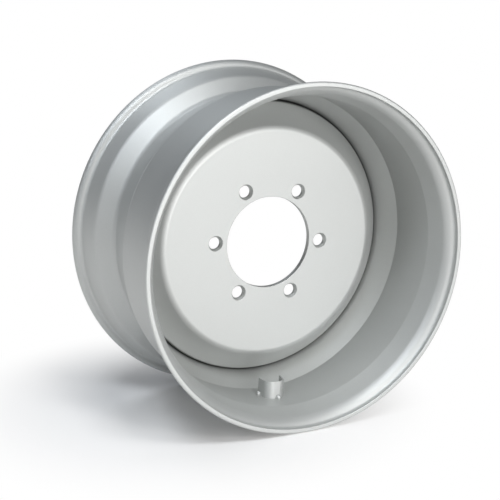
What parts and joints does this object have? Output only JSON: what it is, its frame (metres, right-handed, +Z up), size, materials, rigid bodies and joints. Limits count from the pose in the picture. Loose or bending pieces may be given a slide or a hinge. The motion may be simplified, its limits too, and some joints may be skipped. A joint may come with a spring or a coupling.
{
  "type": "wheel rim",
  "caption": "Wide steel drop-centre wheel rim with a dished disc welded into its well, a hub bore with a ring of countersunk bolt holes, and a bent strip guard for the valve.",
  "frame": {"origin": "on the wheel axis, in the plane of the disc's hub face, which is the middle plane of the rim", "axes": "+Y along the wheel axis towards the vehicle, the visible front faces -Y, +Z up with the valve near the bottom"},
  "size_m": [0.5968, 0.328, 0.5968],
  "materials": {
    "silver_paint": "satin silver paint",
    "painted_weld": "satin silver paint over a rippled weld bead"
  },
  "bodies": {
    "root": {"rim_barrel": "silver_paint", "centre_disc": "silver_paint", "disc_weld": "painted_weld", "valve_guard": "silver_paint", "guard_tacks": "painted_weld"}
  },
  "joints": []
}
